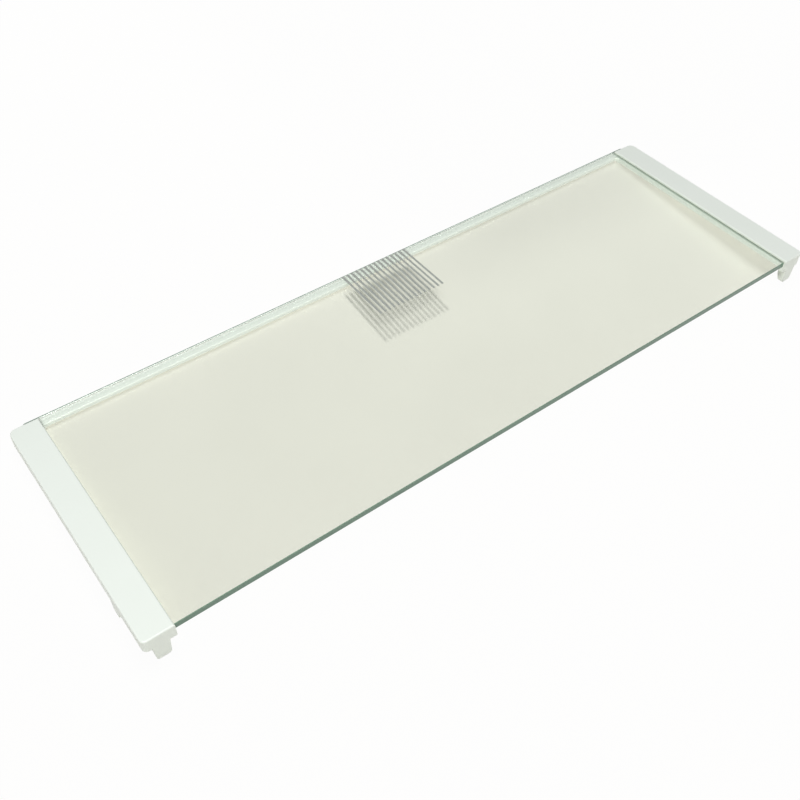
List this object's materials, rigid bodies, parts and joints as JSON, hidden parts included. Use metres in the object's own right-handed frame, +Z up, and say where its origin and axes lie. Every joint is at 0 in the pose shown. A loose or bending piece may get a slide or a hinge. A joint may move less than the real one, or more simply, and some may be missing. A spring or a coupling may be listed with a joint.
{
  "type": "refrigerator shelf",
  "caption": "Shallow glass refrigerator shelf in a white moulded U-shaped frame, with slotted rims at both ends, downward locating lugs and a lined marking at the rear edge.",
  "frame": {"origin": "centre of the footprint, at the level of the lug ends", "axes": "+X along the width of the shelf, +Y from the bare front edge of the glass to the rear bar, +Z up"},
  "size_m": [0.4728, 0.1554, 0.0196],
  "materials": {
    "float_glass": "clear float glass with ground edges",
    "white_plastic": "white satin moulding",
    "grey_ink": "fired grey enamel"
  },
  "bodies": {
    "root": {"glass_plate": "float_glass", "support_frame": "white_plastic", "vent_marking": "grey_ink"}
  },
  "joints": []
}
